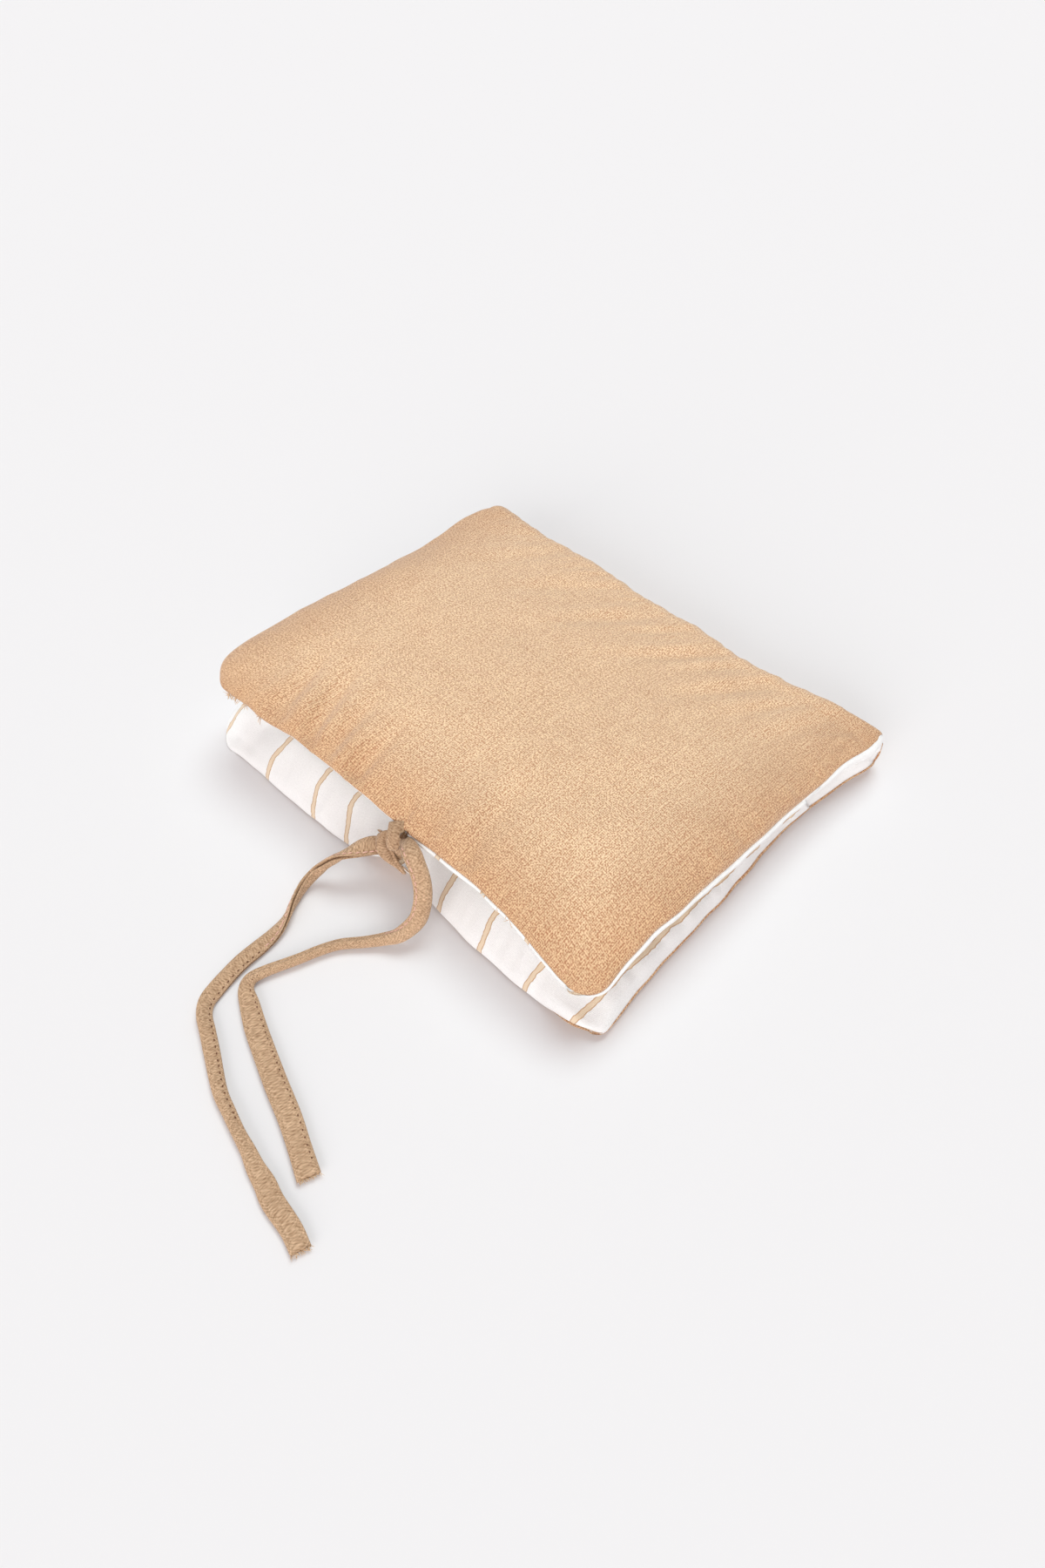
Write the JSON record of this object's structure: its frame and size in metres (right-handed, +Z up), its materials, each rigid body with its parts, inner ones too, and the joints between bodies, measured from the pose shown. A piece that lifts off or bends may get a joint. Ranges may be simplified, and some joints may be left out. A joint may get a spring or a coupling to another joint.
{
  "type": "diaper clutch",
  "caption": "Padded fabric clutch folded like a book, with a striped lining, inner slip pockets and a half-knotted pair of ties at its open front edge.",
  "frame": {"origin": "under the middle of the closed pad, on the surface that it lies on", "axes": "+X along the fold to the near corner, +Y from the open front edge to the fold, +Z up"},
  "size_m": [0.2508, 0.3377, 0.0488],
  "materials": {
    "sand_cloth": "fine ribbed cotton, matt",
    "striped_lining": "white cotton muslin with thin tan stripes, matt",
    "wadding": "soft polyester wadding, matt",
    "tie_cloth": "fine ribbed cotton tape, topstitched, matt"
  },
  "bodies": {
    "lower_half": {"lower_cover": "sand_cloth", "lower_wadding": "wadding", "lower_lining": "striped_lining", "lower_pocket": "striped_lining", "lower_pocket_hem": "striped_lining", "lower_tie_root": "tie_cloth", "tie_knot": "tie_cloth", "left_tie_tail": "tie_cloth", "right_tie_tail": "tie_cloth"},
    "spine": {"fold_cover": "sand_cloth", "fold_wadding": "wadding", "fold_lining": "striped_lining"},
    "upper_half": {"upper_cover": "sand_cloth", "upper_wadding": "wadding", "upper_lining": "striped_lining", "upper_pocket": "striped_lining", "upper_pocket_hem": "striped_lining", "upper_tie_root": "tie_cloth"}
  },
  "joints": [
    {"name": "lower_fold", "type": "hinge", "parent": "lower_half", "child": "spine", "pos_m": [0, 0.1, 0], "axis": [-1, 0, 0], "range_deg": [0, 86]},
    {"name": "upper_fold", "type": "hinge", "parent": "spine", "child": "upper_half", "pos_m": [0, 0.1, 0.028], "axis": [-1, 0, 0], "range_deg": [0, 86]}
  ],
  "couplings": [
    {"joint": "lower_fold", "follows": "upper_fold", "ratio": 1}
  ]
}
